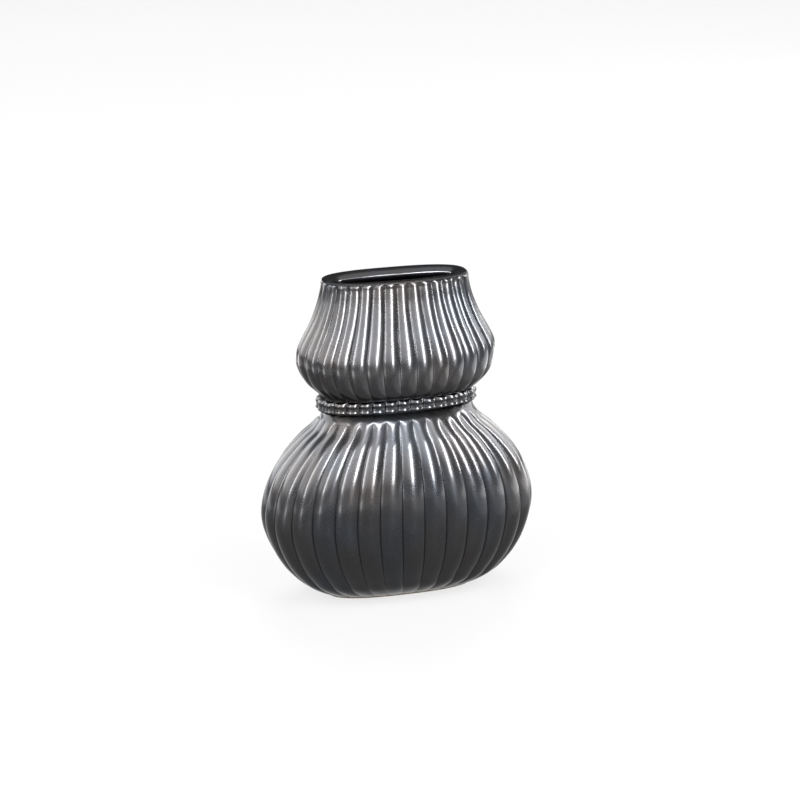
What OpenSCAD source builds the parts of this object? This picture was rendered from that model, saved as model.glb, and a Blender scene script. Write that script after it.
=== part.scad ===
// Double gourd stoneware vase with an oval plan and vertical ribs.
// The ribs run from under the lip to the foot, with a beaded ring round the waist.
// X is the long way across, Y the short way, Z is up and the table is at zero.

/* [Whole vase] */
// Height from the table to the top of the lip
vase_h = 220; // [200:1:250]
// Number of ribs round the vase
rib_count = 30; // [20:2:36]
// Depth of the valleys between the ribs where the vase is widest
rib_depth = 2.4; // [1:0.1:3]
// Thickness of the fired wall
wall_t = 6; // [4:0.5:7]

/* [Foot and floor] */
// Height of the bare foot ring
foot_h = 3; // [2:0.5:4]
// Length of the foot ring
foot_len = 102; // [92:1:108]
// Depth of the foot ring from front to back
foot_depth = 39; // [36:1:44]
// Width of the foot ring's rim
foot_rim_w = 8; // [6:0.5:10]
// Step out from the foot ring to the glazed wall above it
foot_step = 4; // [3:0.5:6]
// Thickness of the floor
floor_t = 7; // [5:0.5:9]

/* [Lower bulb] */
// Level of the lower bulb's top
lower_top_z = 130; // [115:1:135]
// Length of the lower bulb where it is longest
lower_len = 187; // [165:1:200]
// Depth of the lower bulb where it is deepest from front to back
lower_depth = 89; // [80:1:110]

/* [Waist] */
// Length of the smooth throat outside
throat_len = 101; // [92:1:106]
// Depth of the smooth throat outside from front to back
throat_depth = 39; // [36:0.5:42]
// Step out from the throat to the edge of either bulb
throat_step = 0.5; // [0.3:0.1:2]
// Height of the plain groove under the beaded ring
groove_h = 1.4; // [0.8:0.1:3]
// Height of the beaded ring
ring_h = 8.4; // [6:0.2:10]
// Gap from the beaded ring up to the upper bulb
ring_gap = 0.6; // [0.4:0.1:2]
// How far the beaded ring stands out from the throat at its ends
ring_end_out = 4.5; // [3:0.1:5.5]
// How far the beaded ring stands out from the throat at the front and back
ring_side_out = 3.5; // [2.5:0.1:4.5]
// Depth of the notches between the beads
bead_depth = 1.4; // [0.6:0.1:1.8]

/* [Upper bulb] */
// Length of the upper bulb where it is longest
upper_len = 135.5; // [125:0.5:150]
// Depth of the upper bulb where it is deepest from front to back
upper_depth = 71; // [64:1:80]

/* [Mouth] */
// Length of the ribbed wall right under the lip
mouth_len = 98; // [94:1:106]
// Depth of the ribbed wall right under the lip from front to back
mouth_depth = 41; // [40:1:46]
// Height of the lip's outer edge
lip_h = 1.2; // [1:0.2:3]
// Fall of the lip's seat from its outer edge to its inner edge
seat_drop = 2; // [1:0.2:3]
// Thickness of the lip at the opening
lip_t = 4.5; // [3.5:0.5:6]
// Drop of the lip from its outer edge to the opening
lip_drop = 2; // [1:0.2:3]
// Length of the opening
open_len = 76; // [68:1:80]
// Depth of the opening from front to back
open_depth = 15; // [12:0.5:18]

/* [Smoothness] */
// Points on each rib
rib_points = 5; // [4:1:6]
// Points of the smooth inside for each rib
inner_points = 2; // [2:1:3]
// Levels of the lower bulb's outside
lower_levels = 17; // [12:1:20]
// Levels of the upper bulb's outside
upper_levels = 12; // [9:1:14]
// Levels of either bulb's inside
inner_levels = 9; // [6:1:12]

/* [Hidden] */

// Colours of the lustre glaze, its lit edges and the bare clay
glaze = [0.27, 0.28, 0.30];
glaze_lit = [0.36, 0.37, 0.39];
bare_clay = [0.66, 0.58, 0.46];

// Roundness of the oval at each level: two is an ellipse and more is squarer
foot_round = 2.6;
lower_round = 2.4;
throat_round = 2.5;
upper_round = 2.3;
mouth_round = 2.7;
open_round = 2.5;

// Power of the rib's section: two is a plain curve and more is flatter on top
rib_flatness = 2;

// Swell of the lower bulb from its base to its top, as shares:
// height, swell of the length, swell of the depth, height of the ribs
lower_shares = [
    [0, 0, 0, 0.35],
    [0.03, 0.18, 0.3, 0.75],
    [0.07, 0.37, 0.56, 1],
    [0.12, 0.54, 0.7, 1],
    [0.18, 0.7, 0.83, 1],
    [0.26, 0.85, 0.94, 1],
    [0.365, 0.97, 0.99, 1],
    [0.455, 1, 1, 1],
    [0.555, 0.95, 0.985, 1],
    [0.655, 0.84, 0.915, 1],
    [0.735, 0.69, 0.825, 1],
    [0.805, 0.51, 0.715, 1],
    [0.865, 0.33, 0.575, 1],
    [0.913, 0.16, 0.415, 1],
    [0.945, 0.085, 0.295, 0.85],
    [0.961, 0.055, 0.23, 0.5],
    [0.974, 0.035, 0.165, 0],
    [0.99, 0.015, 0.065, 0],
    [1, 0, 0, 0]
];

// Swell of the upper bulb from its underside to the seat of the lip, in the same shares
upper_shares = [
    [0, 0, 0, 0],
    [0.025, 0.1, 0.56, 0.5],
    [0.075, 0.34, 0.86, 1],
    [0.14, 0.65, 0.97, 1],
    [0.22, 0.87, 1, 1],
    [0.32, 1, 0.99, 1],
    [0.41, 0.95, 0.92, 1],
    [0.52, 0.72, 0.75, 1],
    [0.62, 0.48, 0.535, 1],
    [0.73, 0.27, 0.34, 1],
    [0.84, 0.11, 0.17, 1],
    [0.93, 0.03, 0.07, 1],
    [0.985, 0.005, 0.005, 1],
    [1, -0.04, -0.04, 0.3]
];

// Beaded ring from its lower edge to its upper edge, as shares: height, stand out, bead
ring_shares = [
    [0, 0.4, 0.2],
    [0.05, 0.8, 0.7],
    [0.14, 1, 1],
    [0.28, 0.89, 1],
    [0.5, 0.81, 1],
    [0.7, 0.9, 1],
    [0.8, 1, 1],
    [0.89, 0.93, 1],
    [0.95, 0.78, 0.7],
    [1, 0.4, 0.2]
];

// Lip from its seat over the top to the opening, as shares:
// way in to the opening, height of the outer edge, drop
lip_top_shares = [
    [0, 0, 0],
    [-0.04, 0.45, 0],
    [0.02, 0.84, 0],
    [0.14, 1, 0],
    [0.5, 1, 0.3],
    [0.88, 1, 0.8],
    [0.98, 1, 1.02],
    [1, 1, 1.4]
];

// Lip from the opening down and out under it, as shares: way in, thickness at the opening
lip_under_shares = [
    [1.00, 0.75],
    [0.92, 1]
];

floor_z = foot_h;
chamber_z = floor_z + floor_t;
ring_z = lower_top_z + groove_h;
upper_base_z = ring_z + ring_h + ring_gap;
seat_z = vase_h - lip_h;
outer_count = rib_count * rib_points;
inner_count = rib_count * inner_points;
lip_count = inner_count * 2;
walk_steps = 240;

// Half lengths and half depths of the plain outlines, from the foot up
foot_half = [foot_len, foot_depth] / 2;
floor_half = foot_half - [foot_rim_w, foot_rim_w] / 2;
base_half = foot_half + [foot_step, foot_step];
lower_half = [lower_len, lower_depth] / 2;
throat_half = [throat_len, throat_depth] / 2;
bore_half = throat_half - [wall_t, wall_t];
waist_half = throat_half + [throat_step, throat_step];
ring_out = [ring_end_out, ring_side_out];
upper_half = [upper_len, upper_depth] / 2;
mouth_half = [mouth_len, mouth_depth] / 2;
open_half = [open_len, open_depth] / 2;

// Mix of two values or two outlines
function mix(from, to, part) = from + (to - from) * part;

// Level spacing that closes up towards both ends
function eased(step, steps) = (1 - cos(180 * step / steps)) / 2;

// Smooth curve through one column of a table of shares
function row_at(table, share, row = 0) =
    row >= len(table) - 2 || share < table[row + 1][0] ? row : row_at(table, share, row + 1);
function slope_between(table, col, low, high) =
    (table[high][col] - table[low][col]) / (table[high][0] - table[low][0]);
function slope_at(table, col, row) =
    slope_between(table, col, max(row - 1, 0), min(row + 1, len(table) - 1));
function hermite(low, high, low_rise, high_rise, part) =
    low
    + low_rise * part
    + (3 * (high - low) - 2 * low_rise - high_rise) * part * part
    + (low_rise + high_rise - 2 * (high - low)) * part * part * part;
function curve_at(table, col, share) =
    let (row = row_at(table, share))
    let (gap = table[row + 1][0] - table[row][0])
    hermite(table[row][col], table[row + 1][col], slope_at(table, col, row) * gap,
        slope_at(table, col, row + 1) * gap, (share - table[row][0]) / gap);

// Power that keeps its sign, which bends a circle into a squarer oval
function signed_pow(value, power) = sign(value) * pow(abs(value), power);

// Oval walked from its left end past the front, with the length walked so far
function oval_point(half, roundness, turn) =
    [half[0] * signed_pow(cos(turn), 2 / roundness), half[1] * signed_pow(sin(turn), 2 / roundness)];
function oval_walk(half, roundness) =
    [for (step = [0:walk_steps]) oval_point(half, roundness, 180 + 360 * step / walk_steps)];
function step_len(points, i) = i < len(points) ? norm(points[i] - points[i - 1]) : 0;
function walked(points) =
    [for (i = 0, sum = 0; i < len(points); i = i + 1, sum = sum + step_len(points, i)) sum];
function keyed(keys, points, axis) = [for (i = [0:len(keys) - 1]) [keys[i], points[i][axis]]];

// Outward direction of the oval at a point on it
function oval_normal(point, half, roundness) =
    let (along = signed_pow(point[0] / half[0], roundness - 1) / half[0])
    let (across = signed_pow(point[1] / half[1], roundness - 1) / half[1])
    [along, across] / norm([along, across]);

// Height of a rib at a share of its pitch, from valley to valley
function rib_rise(share) = 1 - pow(abs(2 * share - 1), rib_flatness);

// Outline with evenly spaced points and valleys of a given depth between its ribs
function outline(half, roundness, count, valley = 0) =
    let (walk = oval_walk(half, roundness))
    let (sums = walked(walk))
    let (by_x = keyed(sums, walk, 0))
    let (by_y = keyed(sums, walk, 1))
    [for (i = [0:count - 1])
        let (place = sums[walk_steps] * i / count)
        let (point = [lookup(place, by_x), lookup(place, by_y)])
        let (share = i * rib_count / count - floor(i * rib_count / count))
        point - valley * (1 - rib_rise(share)) * oval_normal(point, half, roundness)];

// The same outline as a ring of points at a level
function ring_at(z, half, roundness, count, valley = 0) =
    [for (point = outline(half, roundness, count, valley)) [point[0], point[1], z]];

// Skin between two rings of one count, the second following the first
function band_faces(start, count) =
    [for (i = [0:count - 1])
        let (next = (i + 1) % count)
        each [
            [start + i, start + count + next, start + next],
            [start + i, start + count + i, start + count + next]
        ]];

// Skin between two rings of different counts that start at the same place
function inner_by(i, outer, inner) = floor((i + 0.5) * inner / outer + 0.5) % inner;
function outer_by(i, outer, inner) = ceil((i + 0.5) * outer / inner - 0.5) % outer;
function lid_faces(outer_start, outer, inner_start, inner) = concat(
    [for (i = [0:outer - 1])
        [outer_start + i, inner_start + inner_by(i, outer, inner), outer_start + (i + 1) % outer]],
    [for (i = [0:inner - 1])
        [inner_start + i, inner_start + (i + 1) % inner, outer_start + outer_by(i, outer, inner)]]
);
function turned_over(faces) = [for (face = faces) [face[0], face[2], face[1]]];

// Closed wall from outside rings, listed from the base up, and inside rings, listed back down
module closed_wall(outside, inside) {
    outer = len(outside[0]);
    inner = len(inside[0]);
    inside_start = len(outside) * outer;
    outside_skin = [for (i = [0:len(outside) - 2]) each band_faces(i * outer, outer)];
    inside_skin = [for (i = [0:len(inside) - 2]) each band_faces(inside_start + i * inner, inner)];
    top = lid_faces(inside_start - outer, outer, inside_start, inner);
    base = lid_faces(0, outer, inside_start + (len(inside) - 1) * inner, inner);
    polyhedron(
        points = [for (ring = concat(outside, inside)) each ring],
        faces = concat(outside_skin, inside_skin, top, turned_over(base)),
        convexity = 10
    );
}

// Outline of a bulb at a share of its height, swelling from its two end outlines
function bulb_half(table, base, top, widest, share) =
    let (end = mix(base, top, share))
    [for (axis = [0:1]) mix(end[axis], widest[axis], curve_at(table, axis + 1, share))];

// Valleys follow the pitch of the ribs, so a narrow level has finer ribs
function valley_at(table, half, share) =
    rib_depth * half[0] / lower_half[0] * max(curve_at(table, 3, share), 0);

function lower_at(share) = bulb_half(lower_shares, base_half, waist_half, lower_half, share);
function upper_at(share) = bulb_half(upper_shares, waist_half, mouth_half, upper_half, share);
function lower_round_at(share) =
    share < 0.5
    ? mix(foot_round, lower_round, share * 2)
    : mix(lower_round, throat_round, share * 2 - 1);
function upper_round_at(share) =
    share < 0.5
    ? mix(throat_round, upper_round, share * 2)
    : mix(upper_round, mouth_round, share * 2 - 1);

// Inside of a bulb lies a wall and a rib's depth within its outside
function inset(half, table, share) =
    let (in = wall_t + valley_at(table, half, share))
    half - [in, in];

// Bare clay ring that the vase stands on
module foot_ring() {
    color(bare_clay)
        linear_extrude(foot_h)
            difference() {
                polygon(outline(foot_half, foot_round, lip_count));
                polygon(outline(foot_half - [foot_rim_w, foot_rim_w], foot_round, lip_count));
            }
}

// Floor slab, let into the lower bulb and resting on the foot ring
module floor_slab() {
    color(glaze)
        translate([0, 0, floor_z])
            linear_extrude(floor_t)
                polygon(outline(floor_half, foot_round, inner_count));
}

// Ribbed lower bulb, open below for the floor and above for the throat
module lower_bulb() {
    outside = [for (step = [0:lower_levels])
        let (share = eased(step, lower_levels))
        let (half = lower_at(share))
        ring_at(mix(floor_z, lower_top_z, share), half, lower_round_at(share), outer_count,
            valley_at(lower_shares, half, share))];
    chamber = [for (step = [inner_levels - 1:-1:1])
        let (share = eased(step, inner_levels))
        ring_at(mix(chamber_z, lower_top_z - wall_t, share),
            inset(lower_at(share), lower_shares, share), lower_round_at(share), inner_count)];
    inside = concat(
        [ring_at(lower_top_z, bore_half, throat_round, inner_count)],
        [ring_at(lower_top_z - wall_t, bore_half, throat_round, inner_count)],
        chamber,
        [ring_at(chamber_z, floor_half, foot_round, inner_count)],
        [ring_at(floor_z, floor_half, foot_round, inner_count)]
    );
    color(glaze)
        closed_wall(outside, inside);
}

// Smooth throat that joins the two bulbs
module waist_throat() {
    color(glaze)
        translate([0, 0, lower_top_z])
            linear_extrude(upper_base_z - lower_top_z)
                difference() {
                    polygon(outline(throat_half, throat_round, inner_count));
                    polygon(outline(bore_half, throat_round, inner_count));
                }
}

// Beaded ring round the throat, one bead to a rib
module bead_ring() {
    outside = [for (row = ring_shares)
        let (half = [for (axis = [0:1]) throat_half[axis] + row[1] * ring_out[axis]])
        ring_at(ring_z + row[0] * ring_h, half, throat_round, outer_count, bead_depth * row[2])];
    inside = [for (z = [ring_z + ring_h, ring_z]) ring_at(z, throat_half, throat_round, inner_count)];
    color(glaze_lit)
        closed_wall(outside, inside);
}

// Ribbed upper bulb, open below for the throat and above for the lip
module upper_bulb() {
    outside = [for (step = [0:upper_levels])
        let (share = eased(step, upper_levels))
        let (half = upper_at(share))
        ring_at(mix(upper_base_z, seat_z, share), half, upper_round_at(share), outer_count,
            valley_at(upper_shares, half, share))];
    chamber = [for (step = [inner_levels:-1:1])
        let (share = eased(step, inner_levels))
        ring_at(mix(upper_base_z + wall_t, seat_z - seat_drop, share),
            inset(upper_at(share), upper_shares, share), upper_round_at(share), inner_count)];
    inside = concat(
        chamber,
        [ring_at(upper_base_z + wall_t, bore_half, throat_round, inner_count)],
        [ring_at(upper_base_z, bore_half, throat_round, inner_count)]
    );
    color(glaze)
        closed_wall(outside, inside);
}

// Smooth lip that turns in and down to the opening
module lip() {
    edge_half = upper_at(1);
    outside = [for (row = lip_top_shares)
        ring_at(seat_z + row[1] * lip_h - row[2] * lip_drop, mix(edge_half, open_half, row[0]),
            mix(mouth_round, open_round, max(row[0], 0)), lip_count)];
    underside = [for (row = lip_under_shares)
        ring_at(vase_h - lip_drop - row[1] * lip_t, mix(edge_half, open_half, row[0]),
            mix(mouth_round, open_round, row[0]), inner_count)];
    seat = ring_at(seat_z - seat_drop, inset(edge_half, upper_shares, 1), mouth_round, inner_count);
    color(glaze_lit)
        closed_wall(outside, concat(underside, [seat]));
}

foot_ring();
floor_slab();  // floor
lower_bulb();
waist_throat();
bead_ring();
upper_bulb();
lip();
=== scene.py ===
"""Looks of a ribbed double gourd stoneware vase with an oval plan, in a dark lustre glaze.

Each piece starts as a flat grid that is rolled round the vase and sewn shut. The ribs keep an even pitch
along an oval that changes with every level, which no operator can give, so the grid's points are placed by
formula. Lengths are metres, and each piece keeps to the box of the solid that it replaces. The floor keeps
its solid.
"""

import math

import bpy
import numpy as np
from mathutils import Matrix, Vector


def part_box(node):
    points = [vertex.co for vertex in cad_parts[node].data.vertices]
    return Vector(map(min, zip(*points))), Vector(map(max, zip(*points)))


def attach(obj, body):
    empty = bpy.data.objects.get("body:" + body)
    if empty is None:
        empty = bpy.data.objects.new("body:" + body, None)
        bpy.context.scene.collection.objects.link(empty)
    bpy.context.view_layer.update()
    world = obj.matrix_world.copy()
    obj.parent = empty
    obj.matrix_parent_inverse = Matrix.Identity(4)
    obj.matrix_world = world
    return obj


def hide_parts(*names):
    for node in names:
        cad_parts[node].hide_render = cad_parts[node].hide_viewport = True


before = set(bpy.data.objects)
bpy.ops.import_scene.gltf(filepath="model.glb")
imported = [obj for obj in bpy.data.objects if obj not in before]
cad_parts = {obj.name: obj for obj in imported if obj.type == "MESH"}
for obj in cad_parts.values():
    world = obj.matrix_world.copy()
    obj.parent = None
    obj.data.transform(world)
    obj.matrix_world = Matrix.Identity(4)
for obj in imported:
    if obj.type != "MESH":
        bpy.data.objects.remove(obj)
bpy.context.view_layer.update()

bl_info = {
    "name": "Ribbed stoneware vase",
    "version": (1, 0, 0),
    "blender": (4, 5, 0),
    "location": "View3D > Sidebar > Vase",
    "description": "Makes a ribbed double gourd vase with a dark lustre glaze, and its studio",
    "category": "Add Mesh",
}

MM = 0.001


# Form --------------------------------------------------------------------------------------------

# Roundness of the oval plan at each part: two is an ellipse, and more is squarer
FOOT_ROUND, LOWER_ROUND, THROAT_ROUND, UPPER_ROUND, MOUTH_ROUND, OPEN_ROUND = 2.6, 2.4, 2.5, 2.3, 2.7, 2.5

# Points of the fine oval that each ring is read from, then points and levels of the meshes
OVAL_POINTS = 2881
FOOT_POINTS = 241
LIP_POINTS = 361
LIP_LEVELS = 43
THROAT_LEVELS = 9
BEAD_LEVELS = 20
INSIDE_LEVELS = 24
# Points that lie this close are sewn into one
SEWN_WITHIN = 0.001 * MM

# Power of the crease between two ribs: more is narrower
CREASE_POWER = 26

# The potter's hand: waves round the vase, turn of the waves up a bulb, and share of the phase
HAND_WAVES = (
    (5, 4.3, 1),
    (11, -9.1, 2),
    (19, 6.7, 3),
    (2, 17.0, 1),
)
# Phase of the waves for each metre that a bulb's base is above the table
HAND_PHASE = 40
# How soon the waves reach their full height from either end of a bulb
HAND_START = 30

# Softened edge of the foot ring, and the share of it that the edge's middle stands back
FOOT_EDGE = 0.8 * MM
FOOT_EDGE_MIDDLE = 0.3

# Swell of the lower bulb from its base to its top, as shares:
# height, swell of the length, swell of the depth, height of the ribs
LOWER_SHARES = np.array([
    (0, 0, 0, 0.35),
    (0.03, 0.18, 0.3, 0.75),
    (0.07, 0.37, 0.56, 1),
    (0.12, 0.54, 0.7, 1),
    (0.18, 0.7, 0.83, 1),
    (0.26, 0.85, 0.94, 1),
    (0.365, 0.97, 0.99, 1),
    (0.455, 1, 1, 1),
    (0.555, 0.95, 0.985, 1),
    (0.655, 0.84, 0.915, 1),
    (0.735, 0.69, 0.825, 1),
    (0.805, 0.51, 0.715, 1),
    (0.865, 0.33, 0.575, 1),
    (0.913, 0.16, 0.415, 1),
    (0.945, 0.085, 0.295, 0.78),
    (0.961, 0.055, 0.23, 0.36),
    (0.974, 0.035, 0.165, 0),
    (0.99, 0.015, 0.065, 0),
    (1, 0, 0, 0),
])

# Swell of the upper bulb from its underside to the seat of the lip, in the same shares
UPPER_SHARES = np.array([
    (0, 0, 0, 0),
    (0.025, 0.1, 0.56, 0.5),
    (0.075, 0.34, 0.86, 1),
    (0.14, 0.65, 0.97, 1),
    (0.22, 0.87, 1, 1),
    (0.32, 1, 0.99, 1),
    (0.41, 0.95, 0.92, 1),
    (0.52, 0.72, 0.75, 1),
    (0.62, 0.48, 0.535, 1),
    (0.73, 0.27, 0.34, 1),
    (0.84, 0.11, 0.17, 1),
    (0.93, 0.03, 0.07, 1),
    (0.985, 0.005, 0.005, 1),
    (1, -0.04, -0.04, 0.3),
])

# Beaded ring from its lower edge to its upper edge, as shares: height, stand out, depth of the notches
RING_SHARES = np.array([
    (0, 0.4, 0.2),
    (0.05, 0.8, 0.7),
    (0.14, 1, 1),
    (0.28, 0.9, 1),
    (0.5, 0.86, 1),
    (0.6, 0.91, 1),
    (0.69, 1, 1),
    (0.79, 0.93, 1),
    (0.88, 0.83, 1),
    (0.95, 0.7, 0.7),
    (1, 0.4, 0.2),
])

# Lip from its seat over the top to the opening, as shares: way in, height of the outer edge, drop
LIP_SHARES = np.array([
    (0, 0, 0),
    (-0.04, 0.45, 0),
    (0.02, 0.84, 0),
    (0.14, 1, 0),
    (0.5, 1, 0.3),
    (0.88, 1, 0.8),
    (0.98, 1, 1.02),
    (1, 1, 1.4),
])
# The lip's widest line, as a share of its seat
LIP_OVERHANG = 1.008
# Inside of the lip under the opening, as shares: way in, thickness of the lip
LIP_INSIDE = (
    (1, 0.75),
    (0.92, 1),
)
# Rows of the lip's shares from which a painted highlight runs along the edge of the opening, and from which the
# opening is painted dark as shade
HIGHLIGHT_FROM, DARK_FROM = 5.6, 6.4


# Finish ------------------------------------------------------------------------------------------

# Patterns of the glaze and the clay: waves for each metre, detail, roughness, and the noise where the
# pattern starts and where it is full
CLOUDS = (22, 3, 0.5, 0.35, 0.65)
WEAR = (60, 4, 0.5, 0.3, 0.7)
SPECKS = (1100, 2, 0.5, 0.5, 0.72)
FLOOR_GRAIN = (900, 4, 0.5, 0.35, 0.65)
CLAY_GRAIN = (1100, 4, 0.7, 0.38, 0.62)

# Dents of the glaze and the clay: waves for each metre, detail, strength and depth
GLAZE_DENTS = (1300, 2, 0.2, 0.1 * MM)
FLOOR_DENTS = (500, 3, 0.3, 0.15 * MM)
CLAY_DENTS = (900, 4, 0.5, 0.2 * MM)

# Roughness of the foot's clay in its dark and its pale grains
FOOT_ROUGHNESS = (0.95, 0.8)
# Roughness of the floor's bare underside and of the glaze inside
FLOOR_ROUGHNESS = (0.85, 0.28)
# Band above the underside of the floor in which the bare clay turns to glaze
FLOOR_CLAY = (0.1 * MM, 0.4 * MM)


# Studio ------------------------------------------------------------------------------------------

SENSOR_WIDTH = 36
TABLE_SIZE = 8
# Share of plain white in the table, where the camera or a gloss sees it
TABLE_WHITE = 0.75
LAMP_AIM = Vector((0, 0, 110 * MM))
# Height of the first card over the table, and of each next card over the last
CARD_HEIGHT, CARD_STEP = 4 * MM, 2 * MM

# Lamps: name, turn to the right of the camera and height as angles in degrees, distance, width and length,
# kind and share of its kind's glow. Strips and panels show in the gloss alone, and the fill lights the rest.
LAMPS = (
    ("strip_near", 27, 19, 1.9, (0.42, 1.20), "strip", 1),
    ("strip_left", -38, 24, 1.8, (0.22, 1.30), "strip", 0.6),
    ("strip_right", 92, 22, 1.7, (0.20, 1.20), "strip", 1),
    ("strip_high", 20, 58, 1.8, (0.50, 0.24), "strip", 1),
    ("panel_high", -9, 43, 2.1, (1.60, 1.00), "panel", 0.9),
    ("panel_middle", -9, 24, 2.1, (1.70, 0.34), "panel", 0.85),
    ("panel_under", -9, 15, 2.1, (1.80, 0.30), "panel", 0.65),
    ("panel_low", -9, 7.5, 2.1, (1.80, 0.24), "panel", 0.4),
    ("panel_left", -72, 24, 2.1, (1.40, 1.30), "panel", 0.7),
    ("panel_far_left", -118, 22, 2.1, (1.90, 1.40), "panel", 1),
    ("panel_right", 118, 20, 2.1, (1.20, 1.20), "panel", 0.85),
    ("panel_far_right", 152, 20, 2.1, (1.10, 1.20), "panel", 0.9),
    ("panel_back", 180, 50, 2.0, (1.60, 0.90), "panel", 0.9),
    ("fill_left", -45, 45, 3.6, (2.2, 2.2), "fill", 1),
    ("fill_right", 60, 45, 3.6, (2.2, 2.2), "fill", 1),
    ("fill_back", 180, 55, 3.6, (2.2, 2.2), "fill", 1),
)
# Bright cards that lie on the table and show in the gloss alone: turn to the right of the camera in degrees,
# distance from the vase's axis, width and length, and share of a panel's glow
CARDS = (
    (-24, 0.80, (0.90, 0.70), 0.16),
    (75, 0.50, (0.60, 0.60), 0.14),
    (-38, 0.80, (0.11, 0.70), 1.5),
    (-120, 0.80, (1.10, 0.80), 0.35),
    (112, 0.75, (0.80, 0.90), 0.5),
)


# Settings ----------------------------------------------------------------------------------------

def length(name, description, default, low, high):
    return bpy.props.FloatProperty(
        name=name, description=description, default=default, min=low, max=high,
        subtype="DISTANCE", unit="LENGTH", precision=4,
    )


def plan(name, description, default):
    return bpy.props.FloatVectorProperty(
        name=name, description=description, default=default, size=2, subtype="XYZ_LENGTH", unit="LENGTH",
    )


def number(name, description, default, low, high):
    return bpy.props.FloatProperty(name=name, description=description, default=default, min=low, max=high)


def count(name, description, default, low, high):
    return bpy.props.IntProperty(name=name, description=description, default=default, min=low, max=high)


def share(name, description, default):
    return bpy.props.FloatProperty(
        name=name, description=description, default=default, min=0, max=1, subtype="FACTOR",
    )


def angle(name, description, degrees):
    return bpy.props.FloatProperty(
        name=name, description=description, default=math.radians(degrees), subtype="ANGLE",
    )


def colour(name, description, default):
    return bpy.props.FloatVectorProperty(
        name=name, description=description, default=default, size=3, min=0, max=1, subtype="COLOR",
    )


class VaseShape(bpy.types.PropertyGroup):
    """Sizes of the vase that its solids don't give"""

    rib_count: count("Ribs", "Ribs round the vase", 30, 12, 48)
    rib_points: count("Rib points", "Points on each rib", 16, 6, 24)
    levels: count("Levels", "Levels on each bulb's outside", 84, 20, 120)
    rib_depth: length("Rib depth", "Depth of the valleys where the vase is widest", 2.4 * MM, 0, 4 * MM)
    rib_flatness: number("Rib flatness", "Power of the rib's section: more is flatter on top", 2.0, 1.5, 6)
    crease: share("Crease", "Share of the rib depth that lies in the narrow crease between two ribs", 0.07)
    hand: length("Hand", "How far the shape strays where it was made by hand", 0.6 * MM, 0, 2 * MM)
    wall: length("Wall", "Thickness of the fired wall", 6 * MM, 3 * MM, 8 * MM)
    foot_rim: length("Foot rim", "Width of the foot ring's rim", 8 * MM, 5 * MM, 12 * MM)
    foot_step: length("Foot step", "Step out from the foot ring to the wall above it", 4 * MM, 2 * MM, 6 * MM)
    throat_step: length("Throat step", "Step out from the throat to either bulb", 0.5 * MM, 0.2 * MM, 2 * MM)
    bead_depth: length("Bead depth", "Depth of the notches between the beads", 1.7 * MM, 0, 2 * MM)
    mouth: plan("Mouth", "Length and depth of the wall under the lip", (98 * MM, 41 * MM))
    opening: plan("Opening", "Length and depth of the opening", (76 * MM, 15 * MM))
    lip_height: length("Lip height", "Height of the lip's outer edge", 1.2 * MM, 0.8 * MM, 5 * MM)
    seat_drop: length(
        "Seat drop", "Fall of the lip's seat from its outer edge to its inner edge", 2 * MM, 0, 4 * MM,
    )
    lip_thickness: length("Lip thickness", "Thickness of the lip at the opening", 4.5 * MM, 2 * MM, 7 * MM)
    lip_drop: length("Lip drop", "Drop of the lip from its outer edge to the opening", 2 * MM, 0, 4 * MM)


class VaseFinish(bpy.types.PropertyGroup):
    """Colours and finish of the vase"""

    glaze: colour("Glaze", "Lustre glaze on the ribs", (0.0155, 0.0175, 0.0212))
    glaze_warm: colour("Warm glaze", "Lustre glaze where it fired warmer", (0.0200, 0.0178, 0.0170))
    # Painted shade, partly gathered glaze: the colour that the crease of each valley, the notches between the
    # beads and the lip's opening darken to
    glaze_pool_and_shade: colour("Pooled glaze", "Lustre glaze gathered in the valleys", (0.006, 0.006, 0.007))
    # Painted highlight: the pale colour of a line along the edge of the lip's opening
    glaze_edge_highlight: colour(
        "Thin glaze", "Lustre glaze where it broke thin and bright on the edge of the opening", (0.18, 0.18, 0.19),
    )
    glaze_inside: colour("Inside glaze", "Glaze on the inside", (0.016, 0.016, 0.018))
    clay: colour("Clay", "Bare clay of the foot", (0.42, 0.33, 0.22))
    clay_dark: colour("Dark clay", "Darker grains in the bare clay", (0.24, 0.18, 0.12))
    metal: share("Lustre", "How metallic the glaze looks", 1.0)
    edge: share("Edge tint", "How bright the lustre stays where it is seen at a slant", 0.6)
    gloss: share("Gloss", "Weight of the clear gloss over the lustre", 0.6)


class VaseStudio(bpy.types.PropertyGroup):
    """Camera, lamps and table of the studio"""

    azimuth: angle("Azimuth", "Turn of the camera round the vase", -14.70)
    elevation: angle("Elevation", "Height of the camera as an angle", 18.45)
    roll: angle("Roll", "Tilt of the camera in its own view", -0.73)
    distance: length("Distance", "Distance from the camera to the middle of its view", 1557.8 * MM, 0.5, 5)
    aside: length("Aside", "Middle of the view to the right of the vase's axis", 2.33 * MM, -0.1, 0.1)
    aim: length("Aim", "Height of the middle of the view", 132.97 * MM, 0, 0.3)
    focal_length: number("Focal length", "Focal length of the lens in millimetres", 105.0, 20, 300)
    strip_glow: number("Strip glow", "Brightness of the narrow strip lamps, where one is white", 80.0, 0, 200)
    panel_glow: number("Panel glow", "Brightness of the broad panels, where one is white", 9.0, 0, 100)
    fill_glow: number("Fill glow", "Brightness of the soft lamps that light what isn't glossy", 3.4, 0, 100)
    air_glow: number("Air glow", "Brightness of the light from all round, where one is white", 0.25, 0, 2)


# Curves and outlines -----------------------------------------------------------------------------

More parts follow.
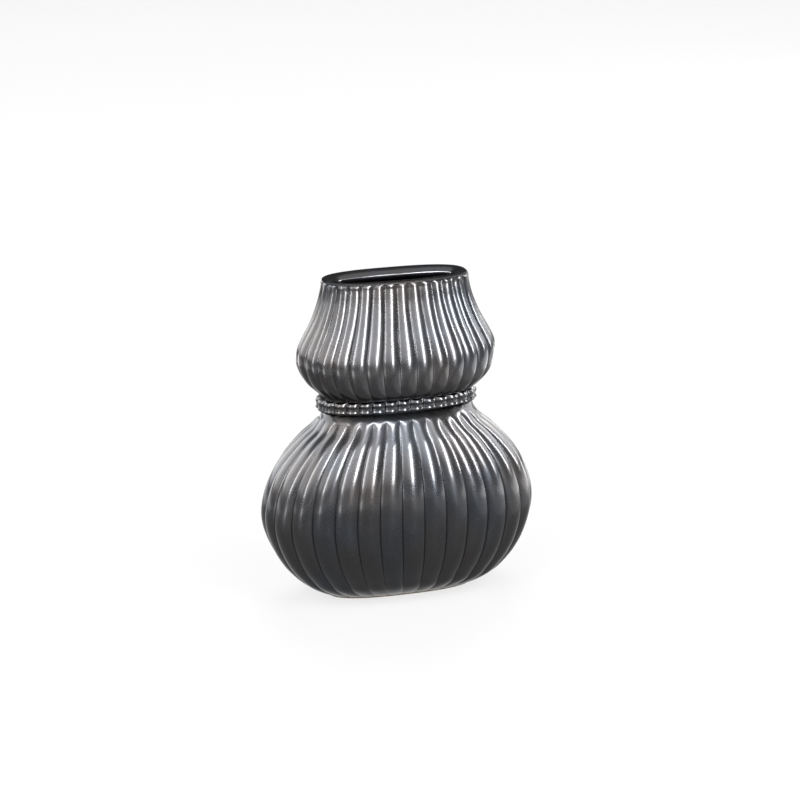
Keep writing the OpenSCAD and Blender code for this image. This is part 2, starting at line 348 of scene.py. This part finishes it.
def curve_at(table, column, at):
    """Smooth curve through one column of a table of shares, whose first column holds the places."""
    keys, values = table[:, 0], table[:, column]
    rows = np.arange(len(keys))
    before, after = np.maximum(rows - 1, 0), np.minimum(rows + 1, len(keys) - 1)
    slopes = (values[after] - values[before]) / (keys[after] - keys[before])
    row = np.clip(np.searchsorted(keys, at, side="right") - 1, 0, len(keys) - 2)
    gap = keys[row + 1] - keys[row]
    part = (at - keys[row]) / gap
    low, high = values[row], values[row + 1]
    low_rise, high_rise = slopes[row] * gap, slopes[row + 1] * gap
    return (low + low_rise * part
            + (3 * (high - low) - 2 * low_rise - high_rise) * part ** 2
            + (low_rise + high_rise - 2 * (high - low)) * part ** 3)


def eased(steps):
    """Shares from zero to one that close up towards both ends."""
    return (1 - np.cos(np.linspace(0, math.pi, steps + 1))) / 2


def mix(low, high, part):
    return low + (high - low) * part


def signed_power(value, power):
    return np.sign(value) * np.abs(value) ** power


def outline(half, roundness, places, inset):
    """Points of an oval at shares of the walk round it from its left end past the front, set in by an inset."""
    turn = np.linspace(math.pi, 3 * math.pi, OVAL_POINTS)
    walk = np.stack([half[0] * signed_power(np.cos(turn), 2 / roundness),
                     half[1] * signed_power(np.sin(turn), 2 / roundness)])
    gone = np.concatenate([[0], np.cumsum(np.hypot(*np.diff(walk)))])
    x, y = (np.interp(places * gone[-1], gone, axis) for axis in walk)
    across = np.stack([signed_power(x / half[0], roundness - 1) / half[0],
                       signed_power(y / half[1], roundness - 1) / half[1]])
    across /= np.hypot(*across)
    return x - inset * across[0], y - inset * across[1]


def ring_at(height, half, roundness, places, inset=0):
    x, y = outline(half, roundness, places, inset)
    return np.stack([x, y, np.full(len(places), height)], axis=1)


def ring_places(shape):
    """Shares of the walk round the vase, closer together in the valleys, and each point's depth in its valley."""
    across = eased(shape.rib_points)[:-1]
    places = (np.arange(shape.rib_count)[:, None] + across) / shape.rib_count
    aside = np.abs(2 * across - 1)
    rib = mix(aside ** shape.rib_flatness, aside ** CREASE_POWER, shape.crease)
    depth = np.tile(rib, shape.rib_count)
    return np.append(places, 1), np.append(depth, depth[0])


def half_of(node):
    """Half the length and half the depth of a solid."""
    low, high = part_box(node)
    return np.array([high.x - low.x, high.y - low.y]) / 2


def hand_wave(shape, places, at, phase):
    """How far the potter's hand strays inwards, as a slow wave round the vase and up it."""
    turn = 2 * math.pi * places
    wave = sum(np.sin(waves * turn + climb * at + lead * phase) for waves, climb, lead in HAND_WAVES)
    return shape.hand * (1 - wave / len(HAND_WAVES)) / 2


def bulb(node, table, ends, rounds, shape, chamber, base_bore, top_bore=None):
    """Closed wall of a ribbed bulb: its outside from the base up, then its inside down to the base.

    The ends are half the oval at the base and at the top, and the rounds are the roundness at the base, in
    the middle and at the top. The chamber is the lowest and highest level of the hollow. A bore is half the
    oval and the roundness of a way into it. The second list holds how deep each point lies in its valley, which
    darkens the glaze there as painted crease shade over gathered glaze.
    """
    low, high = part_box(node)
    base, top = ends
    widest = half_of(node)
    length_of_lower = half_of("lower_bulb")[0]
    places, depth = ring_places(shape)

    def section(at):
        between = mix(base, top, at)
        half = np.array([mix(between[axis], widest[axis], curve_at(table, axis + 1, at)) for axis in (0, 1)])
        valley = shape.rib_depth * half[0] / length_of_lower * max(float(curve_at(table, 3, at)), 0)
        roundness = mix(rounds[0], rounds[1], at * 2) if at < 0.5 else mix(rounds[1], rounds[2], at * 2 - 1)
        return half, valley, roundness

    rings, pool_shade_highlights = [], []
    for at in eased(shape.levels):
        half, valley, roundness = section(at)
        stray = hand_wave(shape, places, at, low.z * HAND_PHASE) * min(1, HAND_START * at * (1 - at))
        rings.append(ring_at(mix(low.z, high.z, at), half, roundness, places, valley * depth + stray))
        # Painted shade of the crease over gathered glaze: one at the bottom of a valley where the ribs are deepest
        pool_shade_highlights.append(depth * valley / shape.rib_depth)

    inside = []
    if top_bore:
        inside += [ring_at(z, *top_bore, places) for z in (high.z, chamber[1])]
    for at in eased(INSIDE_LEVELS)[-2 if top_bore else -1:0:-1]:
        half, valley, roundness = section(at)
        inside.append(ring_at(mix(*chamber, at), half - shape.wall - valley, roundness, places))
    inside += [ring_at(z, *base_bore, places) for z in (chamber[0], low.z)]
    return rings + inside, pool_shade_highlights + [np.zeros(len(places))] * len(inside)


# Meshes ------------------------------------------------------------------------------------------

def rolled(name, rings, box, pool_shade_highlights):
    """A grid that is rolled round the vase, through the rings of a closed section, and sewn where its ends meet.

    The rings run all round the section, and the last list holds a value for each of their points, which marks
    painted shade, gathered glaze and a painted highlight. The piece fills its box.
    """
    rings = np.array(rings + rings[:1])
    pool_shade_highlights = np.array(pool_shade_highlights + pool_shade_highlights[:1])
    rows, columns = rings.shape[0] - 1, rings.shape[1] - 1
    bpy.ops.object.select_all(action="DESELECT")
    bpy.ops.mesh.primitive_grid_add(x_subdivisions=columns, y_subdivisions=rows, size=1)
    piece = bpy.context.object
    piece.name = piece.data.name = name

    flat = np.empty(len(piece.data.vertices) * 3)
    piece.data.vertices.foreach_get("co", flat)
    flat = flat.reshape(-1, 3)
    column = np.rint((flat[:, 0] + 0.5) * columns).astype(int)
    row = np.rint((flat[:, 1] + 0.5) * rows).astype(int)
    points = rings[row, column]

    low, high = (np.array(corner) for corner in box)
    points = low + (points - points.min(0)) * (high - low) / (points.max(0) - points.min(0))
    piece.data.vertices.foreach_set("co", points.ravel())
    pool_shade_highlight = piece.data.attributes.new("pool_shade_highlight", "FLOAT", "POINT")
    pool_shade_highlight.data.foreach_set("value", pool_shade_highlights[row, column].astype(np.float32))

    bpy.ops.object.mode_set(mode="EDIT")
    bpy.ops.mesh.select_all(action="SELECT")
    bpy.ops.mesh.remove_doubles(threshold=SEWN_WITHIN)
    bpy.ops.mesh.normals_make_consistent(inside=False)
    bpy.ops.object.mode_set(mode="OBJECT")
    bpy.ops.object.shade_smooth()
    return piece


def coated(item, material):
    """One material all over a piece, in place of what it had."""
    item.data.materials.clear()
    item.data.materials.append(material)


def finish_piece(piece, node, material):
    coated(piece, material)
    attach(piece, "root")
    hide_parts(node)


# Materials ---------------------------------------------------------------------------------------

def new_material(name):
    """A material with one shader, its node tree and that shader."""
    material = bpy.data.materials.new(name)
    material.use_nodes = True
    tree = material.node_tree
    tree.nodes.clear()
    output = tree.nodes.new("ShaderNodeOutputMaterial")
    shader = tree.nodes.new("ShaderNodeBsdfPrincipled")
    tree.links.new(shader.outputs["BSDF"], output.inputs["Surface"])
    return material, tree, shader


def noise(tree, scale, detail, roughness):
    place = tree.nodes.new("ShaderNodeTexCoord")
    texture = tree.nodes.new("ShaderNodeTexNoise")
    texture.inputs["Scale"].default_value = scale
    texture.inputs["Detail"].default_value = detail
    texture.inputs["Roughness"].default_value = roughness
    tree.links.new(place.outputs["Object"], texture.inputs["Vector"])
    return texture.outputs["Fac"]


def ranged(tree, value, from_low, from_high, to_low, to_high):
    node = tree.nodes.new("ShaderNodeMapRange")
    node.inputs["From Min"].default_value = from_low
    node.inputs["From Max"].default_value = from_high
    node.inputs["To Min"].default_value = to_low
    node.inputs["To Max"].default_value = to_high
    tree.links.new(value, node.inputs["Value"])
    return node.outputs["Result"]


def pattern(tree, kind, low=0, high=1):
    """A value that goes from low to high with a pattern of the glaze or the clay."""
    scale, detail, roughness, start, full = kind
    return ranged(tree, noise(tree, scale, detail, roughness), start, full, low, high)


def blended(tree, factor, first, second):
    """The first colour where the factor is zero and the second where it is one. A colour may be a socket."""
    node = tree.nodes.new("ShaderNodeMix")
    node.data_type = "RGBA"
    tree.links.new(factor, node.inputs["Factor"])
    for value, socket in ((first, node.inputs[6]), (second, node.inputs[7])):
        if isinstance(value, bpy.types.NodeSocket):
            tree.links.new(value, socket)
        else:
            socket.default_value = (*value, 1)
    return node.outputs[2]


def joined(tree, operation, first, second):
    node = tree.nodes.new("ShaderNodeMath")
    node.operation = operation
    tree.links.new(first, node.inputs[0])
    tree.links.new(second, node.inputs[1])
    return node.outputs[0]


def dented(tree, shader, kind):
    """Fine dents all over a shader's surface."""
    scale, detail, strength, depth = kind
    height = noise(tree, scale, detail, 0.5)
    node = tree.nodes.new("ShaderNodeBump")
    node.inputs["Strength"].default_value = strength
    node.inputs["Distance"].default_value = depth
    tree.links.new(height, node.inputs["Height"])
    tree.links.new(node.outputs["Normal"], shader.inputs["Normal"])


def lustre_glaze(finish, name="dark_lustre", worn=0.0):
    """Dark lustre glaze: cooler and warmer clouds, darker in the valleys as painted crease shade over gathered
    glaze, with fine pale specks.

    The attribute on the pieces is one at the bottom of a valley or notch, where painted shade darkens gathered
    glaze, and in the lip's opening, which it paints as shade; zero where the glaze lies plain; and minus one along
    the edge of the opening, which it paints as a highlight. Worn goes from zero, as on the ribs, to one, where the
    glaze lies thinner and drier and the painted shade is darkest.
    """
    # Values of the attribute from which painted shade darkens the glaze, and from which a painted highlight
    # lightens it
    pools_and_shades_from, highlight_from = 0.75, -0.5
    darkest = 0.4 + 0.6 * worn
    smoothest, roughest = 0.25 + 0.08 * worn, 0.32 + 0.08 * worn
    speck_colour = tuple(min(value * 1.9, 1) for value in finish.glaze)
    speck_strength, speck_roughness = 0.3, 0.08
    gloss = finish.gloss * (1 - 0.9 * worn)
    gloss_roughness, gloss_bend = 0.15, 1.35 + 0.65 * worn

    material, tree, shader = new_material(name)
    cloud = pattern(tree, CLOUDS)
    tint = blended(tree, cloud, finish.glaze, finish.glaze_warm)
    pool_shade_highlight = tree.nodes.new("ShaderNodeAttribute")
    pool_shade_highlight.attribute_name = "pool_shade_highlight"
    # Painted shade in creases, notches and the lip's opening, where the gloss is taken away too; in the valleys it
    # stands for gathered glaze as well
    pooled_and_shaded = ranged(tree, pool_shade_highlight.outputs["Fac"], pools_and_shades_from, 1, 0, darkest)
    darkened = blended(tree, pooled_and_shaded, tint, finish.glaze_pool_and_shade)
    specks = pattern(tree, SPECKS)
    faint = ranged(tree, specks, 0, 1, 0, speck_strength)
    speckled = blended(tree, faint, darkened, speck_colour)
    # Painted highlight along the edge of the lip's opening
    edge_highlight = ranged(tree, pool_shade_highlight.outputs["Fac"], highlight_from, -1, 0, 1)
    edge_highlight_colour = blended(tree, cloud, finish.glaze_edge_highlight, finish.glaze_warm)
    tree.links.new(blended(tree, edge_highlight, speckled, edge_highlight_colour), shader.inputs["Base Color"])
    wear = pattern(tree, WEAR, smoothest, roughest)
    rough = joined(tree, "ADD", wear, ranged(tree, specks, 0, 1, 0, speck_roughness))
    tree.links.new(rough, shader.inputs["Roughness"])
    shader.inputs["Metallic"].default_value = finish.metal
    shader.inputs["Specular Tint"].default_value = (*[finish.edge * (1 - worn)] * 3, 1)
    tree.links.new(ranged(tree, pooled_and_shaded, 0, 1, gloss, 0), shader.inputs["Coat Weight"])
    shader.inputs["Coat Roughness"].default_value = gloss_roughness
    shader.inputs["Coat IOR"].default_value = gloss_bend
    dented(tree, shader, GLAZE_DENTS)
    return material


def worn_glaze(finish):
    """The lustre glaze as it lies on the lip: thinner and drier."""
    return lustre_glaze(finish, "worn_lustre", 1.0)


def inside_glaze(finish):
    """Near black glaze inside the vase, with bare clay under the floor."""
    material, tree, shader = new_material("black_inside")
    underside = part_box("floor")[0].z
    clay_top, glaze_start = (underside + height for height in FLOOR_CLAY)
    place = tree.nodes.new("ShaderNodeTexCoord")
    split = tree.nodes.new("ShaderNodeSeparateXYZ")
    tree.links.new(place.outputs["Object"], split.inputs["Vector"])
    above = ranged(tree, split.outputs["Z"], clay_top, glaze_start, 0, 1)
    grain = pattern(tree, FLOOR_GRAIN)
    clay = blended(tree, grain, finish.clay_dark, finish.clay)
    dark = blended(tree, grain, finish.glaze_inside, finish.glaze_pool_and_shade)
    tree.links.new(blended(tree, above, clay, dark), shader.inputs["Base Color"])
    tree.links.new(ranged(tree, above, 0, 1, *FLOOR_ROUGHNESS), shader.inputs["Roughness"])
    dented(tree, shader, FLOOR_DENTS)
    return material


def bare_clay(finish):
    """Dry fired clay with fine grains."""
    material, tree, shader = new_material("dry_clay")
    grain = pattern(tree, CLAY_GRAIN)
    tree.links.new(blended(tree, grain, finish.clay_dark, finish.clay), shader.inputs["Base Color"])
    tree.links.new(ranged(tree, grain, 0, 1, *FOOT_ROUGHNESS), shader.inputs["Roughness"])
    dented(tree, shader, CLAY_DENTS)
    return material


def material_named(name, maker):
    """The finish of that name, made the first time.

    No finish has the name of a record's slot, because the solids bring flat materials of those names.
    """
    return bpy.data.materials.get(name) or maker(bpy.context.scene.vase_finish)


# Operators ---------------------------------------------------------------------------------------

class VASE_OT_foot(bpy.types.Operator):
    """Make the bare foot ring with softened edges, and finish the floor above it"""

    bl_idname = "vase.foot"
    bl_label = "Foot and floor"
    bl_options = {"REGISTER", "UNDO"}

    def execute(self, context):
        low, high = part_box("foot_ring")
        outer = half_of("foot_ring")
        inner = outer - context.scene.vase_shape.foot_rim
        middle = FOOT_EDGE * FOOT_EDGE_MIDDLE
        places = np.linspace(0, 1, FOOT_POINTS)
        rings = [ring_at(height, half, FOOT_ROUND, places) for height, half in (
            (high.z, outer),
            (high.z, inner),
            (low.z + FOOT_EDGE, inner),
            (low.z + middle, inner + middle),
            (low.z, inner + FOOT_EDGE),
            (low.z, outer - FOOT_EDGE),
            (low.z + middle, outer - middle),
            (low.z + FOOT_EDGE, outer),
        )]
        piece = rolled("foot", rings, (low, high), [np.zeros(len(places))] * len(rings))
        finish_piece(piece, "foot_ring", material_named("dry_clay", bare_clay))
        coated(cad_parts["floor"], material_named("black_inside", inside_glaze))
        return {"FINISHED"}


class VASE_OT_bulbs(bpy.types.Operator):
    """Make the two ribbed bulbs"""

    bl_idname = "vase.bulbs"
    bl_label = "Bulbs"
    bl_options = {"REGISTER", "UNDO"}

    def execute(self, context):
        shape = context.scene.vase_shape
        glaze = material_named("dark_lustre", lustre_glaze)
        base = half_of("foot_ring") + shape.foot_step
        waist = half_of("waist_throat") + shape.throat_step
        mouth = np.array(shape.mouth) / 2
        bore = (half_of("waist_throat") - shape.wall, THROAT_ROUND)

        low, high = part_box("lower_bulb")
        chamber = (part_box("floor")[1].z, high.z - shape.wall)
        rings, pool_shade_highlights = bulb("lower_bulb", LOWER_SHARES, (base, waist), (FOOT_ROUND, LOWER_ROUND, THROAT_ROUND),
                            shape, chamber, (half_of("floor"), FOOT_ROUND), bore)
        finish_piece(rolled("lower_body", rings, (low, high), pool_shade_highlights), "lower_bulb", glaze)

        low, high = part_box("upper_bulb")
        chamber = (low.z + shape.wall, high.z - shape.seat_drop)
        rings, pool_shade_highlights = bulb("upper_bulb", UPPER_SHARES, (waist, mouth), (THROAT_ROUND, UPPER_ROUND, MOUTH_ROUND),
                            shape, chamber, bore)
        finish_piece(rolled("upper_body", rings, (low, high), pool_shade_highlights), "upper_bulb", glaze)
        return {"FINISHED"}


class VASE_OT_waist(bpy.types.Operator):
    """Make the smooth throat and the beaded ring round it"""

    bl_idname = "vase.waist"
    bl_label = "Throat and beaded ring"
    bl_options = {"REGISTER", "UNDO"}

    def execute(self, context):
        shape = context.scene.vase_shape
        glaze = material_named("dark_lustre", lustre_glaze)
        places, depth = ring_places(shape)
        plain = np.zeros(len(places))

        low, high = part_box("waist_throat")
        half = half_of("waist_throat")
        rings = [ring_at(z, half, THROAT_ROUND, places) for z in np.linspace(low.z, high.z, THROAT_LEVELS)]
        rings += [ring_at(z, half - shape.wall, THROAT_ROUND, places) for z in (high.z, low.z)]
        piece = rolled("throat", rings, (low, high), [plain] * len(rings))
        finish_piece(piece, "waist_throat", glaze)

        low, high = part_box("bead_ring")
        stand = half_of("bead_ring") - half
        rings, pool_shade_highlights = [], []
        for at in eased(BEAD_LEVELS):
            notch = shape.bead_depth * float(curve_at(RING_SHARES, 2, at))
            reach = half + stand * float(curve_at(RING_SHARES, 1, at))
            rings.append(ring_at(mix(low.z, high.z, at), reach, THROAT_ROUND, places, notch * depth))
            # Painted shade in the notches between the beads
            pool_shade_highlights.append(depth * notch / shape.bead_depth)
        rings += [ring_at(z, half, THROAT_ROUND, places) for z in (high.z, low.z)]
        pool_shade_highlights += [plain] * 2
        finish_piece(rolled("beads", rings, (low, high), pool_shade_highlights), "bead_ring", glaze)
        return {"FINISHED"}


class VASE_OT_lip(bpy.types.Operator):
    """Make the smooth lip that turns in and down to the opening"""

    bl_idname = "vase.lip"
    bl_label = "Lip"
    bl_options = {"REGISTER", "UNDO"}

    def execute(self, context):
        shape = context.scene.vase_shape
        low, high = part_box("lip")
        edge = half_of("lip") / LIP_OVERHANG
        opening = np.array(shape.opening) / 2
        seat = high.z - shape.lip_height
        places = np.linspace(0, 1, LIP_POINTS)

        def ring(height, way):
            roundness = mix(MOUTH_ROUND, OPEN_ROUND, max(way, 0))
            return ring_at(height, mix(edge, opening, way), roundness, places)

        table = np.column_stack([np.arange(len(LIP_SHARES)), LIP_SHARES])
        rings, pool_shade_highlights = [], []
        for row in np.linspace(0, len(LIP_SHARES) - 1, LIP_LEVELS):
            way, rise, drop = (float(curve_at(table, column, row)) for column in (1, 2, 3))
            rings.append(ring(seat + rise * shape.lip_height - drop * shape.lip_drop, way))
            # Painted highlight on the edge of the opening, then painted shade in the opening
            pool_shade_highlights.append(float(row > DARK_FROM) - float(HIGHLIGHT_FROM < row < DARK_FROM))
        for way, thick in LIP_INSIDE:
            rings.append(ring(high.z - shape.lip_drop - thick * shape.lip_thickness, way))
        rings.append(ring_at(seat - shape.seat_drop, edge - shape.wall, MOUTH_ROUND, places))
        # The inside of the lip is painted as shade
        pool_shade_highlights += [1.0] * (len(rings) - len(pool_shade_highlights))
        piece = rolled("rim", rings, (low, high), [np.full(len(places), pool_shade_highlight) for pool_shade_highlight in pool_shade_highlights])
        finish_piece(piece, "lip", material_named("worn_lustre", worn_glaze))
        return {"FINISHED"}


def add_camera(scene, studio):
    """The camera at its angles and distance from the middle of its view."""
    right = Vector((math.cos(studio.azimuth), math.sin(studio.azimuth), 0))
    level = Vector((math.sin(studio.azimuth), -math.cos(studio.azimuth), 0))
    back = level * math.cos(studio.elevation) + Vector((0, 0, math.sin(studio.elevation)))
    up = back.cross(right)
    aim = right * studio.aside + Vector((0, 0, studio.aim))
    tilted = Matrix.Rotation(studio.roll, 3, back)
    turn = Matrix((tilted @ right, tilted @ up, back)).transposed()
    lens = bpy.data.cameras.new("camera")
    lens.sensor_width, lens.lens = SENSOR_WIDTH, studio.focal_length
    holder = bpy.data.objects.new("camera", lens)
    holder.matrix_world = Matrix.Translation(aim + back * studio.distance) @ turn.to_4x4()
    scene.collection.objects.link(holder)
    scene.camera = holder


def add_light(name, place, turned, size, glow, in_gloss):
    """A soft rectangle of a given brightness that shows in the gloss or lights the rest."""
    light = bpy.data.lights.new(name, "AREA")
    light.shape = "RECTANGLE"
    light.size, light.size_y = size
    light.energy = glow * math.pi * size[0] * size[1]
    holder = bpy.data.objects.new(name, light)
    holder.location = place
    holder.rotation_euler = turned
    holder.visible_camera = False
    holder.visible_glossy, holder.visible_diffuse = in_gloss, not in_gloss
    bpy.context.scene.collection.objects.link(holder)


def add_lights(studio):
    """The lamps round the vase, which face it, and the cards on the table, which face up."""
    glows = {"strip": studio.strip_glow, "panel": studio.panel_glow, "fill": studio.fill_glow}
    for name, turn, height, far, size, kind, strength in LAMPS:
        round_by, rise = studio.azimuth + math.radians(turn), math.radians(height)
        level = math.cos(rise)
        towards = Vector((math.sin(round_by) * level, -math.cos(round_by) * level, math.sin(rise)))
        place = LAMP_AIM + towards * far
        turned = (LAMP_AIM - place).to_track_quat("-Z", "Y").to_euler()
        add_light(name, place, turned, size, glows[kind] * strength, kind != "fill")
    for index, (turn, far, size, strength) in enumerate(CARDS):
        round_by = studio.azimuth + math.radians(turn)
        place = Vector((math.sin(round_by) * far, -math.cos(round_by) * far, CARD_HEIGHT + index * CARD_STEP))
        add_light(f"card_{index}", place, (math.pi, 0, round_by), size, studio.panel_glow * strength, True)


def any_ray(tree, *kinds):
    """One where a ray is of any of the kinds, and zero elsewhere."""
    seen = tree.nodes.new("ShaderNodeLightPath")
    found = seen.outputs[kinds[0]]
    for kind in kinds[1:]:
        found = joined(tree, "MAXIMUM", found, seen.outputs[kind])
    return found


def shown(tree, factor, plain, white, output):
    """The plain shader is shown where the factor is zero, and the white one where it is one."""
    blend = tree.nodes.new("ShaderNodeMixShader")
    tree.links.new(factor, blend.inputs["Fac"])
    tree.links.new(plain, blend.inputs[1])
    tree.links.new(white, blend.inputs[2])
    tree.links.new(blend.outputs["Shader"], output.inputs["Surface"])


def glowing(tree, kind, strength):
    """A shader node of that kind which gives off white light."""
    node = tree.nodes.new(kind)
    node.inputs["Color"].default_value = (1, 1, 1, 1)
    node.inputs["Strength"].default_value = strength
    return node


def table_paint():
    """Pale paint that shows near white and still keeps the vase's shadow."""
    material, tree, shader = new_material("studio_floor")
    shader.inputs["Base Color"].default_value = (0.90, 0.90, 0.90, 1)
    shader.inputs["Roughness"].default_value = 0.9
    seen = any_ray(tree, "Is Camera Ray", "Is Glossy Ray")
    part = ranged(tree, seen, 0, 1, 0, TABLE_WHITE)
    glow = glowing(tree, "ShaderNodeEmission", 1)
    output = next(node for node in tree.nodes if node.type == "OUTPUT_MATERIAL")
    shown(tree, part, shader.outputs["BSDF"], glow.outputs["Emission"], output)
    return material


def add_table():
    """The pale floor that the vase stands on."""
    bpy.ops.object.select_all(action="DESELECT")
    bpy.ops.mesh.primitive_plane_add(size=TABLE_SIZE)
    floor = bpy.context.object
    floor.name = "studio_floor"
    coated(floor, table_paint())


def add_backdrop(scene, studio):
    """White to the camera, in reflections and through glass, and a soft grey light elsewhere."""
    world = bpy.data.worlds.new("studio_air")
    world.use_nodes = True
    scene.world = world
    tree = world.node_tree
    tree.nodes.clear()
    output = tree.nodes.new("ShaderNodeOutputWorld")
    light = glowing(tree, "ShaderNodeBackground", studio.air_glow)
    white = glowing(tree, "ShaderNodeBackground", 1)
    seen = any_ray(tree, "Is Camera Ray", "Is Glossy Ray", "Is Transmission Ray")
    shown(tree, seen, light.outputs["Background"], white.outputs["Background"], output)


class VASE_OT_studio(bpy.types.Operator):
    """Set up the camera, the soft lamps, the pale floor and the white backdrop"""

    bl_idname = "vase.studio"
    bl_label = "Studio"
    bl_options = {"REGISTER", "UNDO"}

    def execute(self, context):
        scene, studio = context.scene, context.scene.vase_studio
        add_camera(scene, studio)
        add_lights(studio)
        add_table()
        add_backdrop(scene, studio)
        scene.view_settings.view_transform = "Standard"
        return {"FINISHED"}


class VASE_PT_panel(bpy.types.Panel):
    """Sizes, finish and makers of the vase"""

    bl_idname = "VASE_PT_panel"
    bl_label = "Ribbed vase"
    bl_space_type = "VIEW_3D"
    bl_region_type = "UI"
    bl_category = "Vase"

    def draw(self, context):
        for group in ("vase_shape", "vase_finish", "vase_studio"):
            settings = getattr(context.scene, group)
            box = self.layout.box()
            for name in settings.__annotations__:
                box.prop(settings, name)
        for maker in MAKERS:
            self.layout.operator(maker.bl_idname)


MAKERS = (VASE_OT_foot, VASE_OT_bulbs, VASE_OT_waist, VASE_OT_lip, VASE_OT_studio)
CLASSES = (VaseShape, VaseFinish, VaseStudio, *MAKERS, VASE_PT_panel)


def register():
    for item in CLASSES:
        bpy.utils.register_class(item)
    bpy.types.Scene.vase_shape = bpy.props.PointerProperty(type=VaseShape)
    bpy.types.Scene.vase_finish = bpy.props.PointerProperty(type=VaseFinish)
    bpy.types.Scene.vase_studio = bpy.props.PointerProperty(type=VaseStudio)


def unregister():
    del bpy.types.Scene.vase_studio
    del bpy.types.Scene.vase_finish
    del bpy.types.Scene.vase_shape
    for item in reversed(CLASSES):
        bpy.utils.unregister_class(item)


def main():
    register()
    bpy.ops.vase.foot()
    bpy.ops.vase.bulbs()
    bpy.ops.vase.waist()
    bpy.ops.vase.lip()
    bpy.ops.vase.studio()


if __name__ == "__main__":
    main()
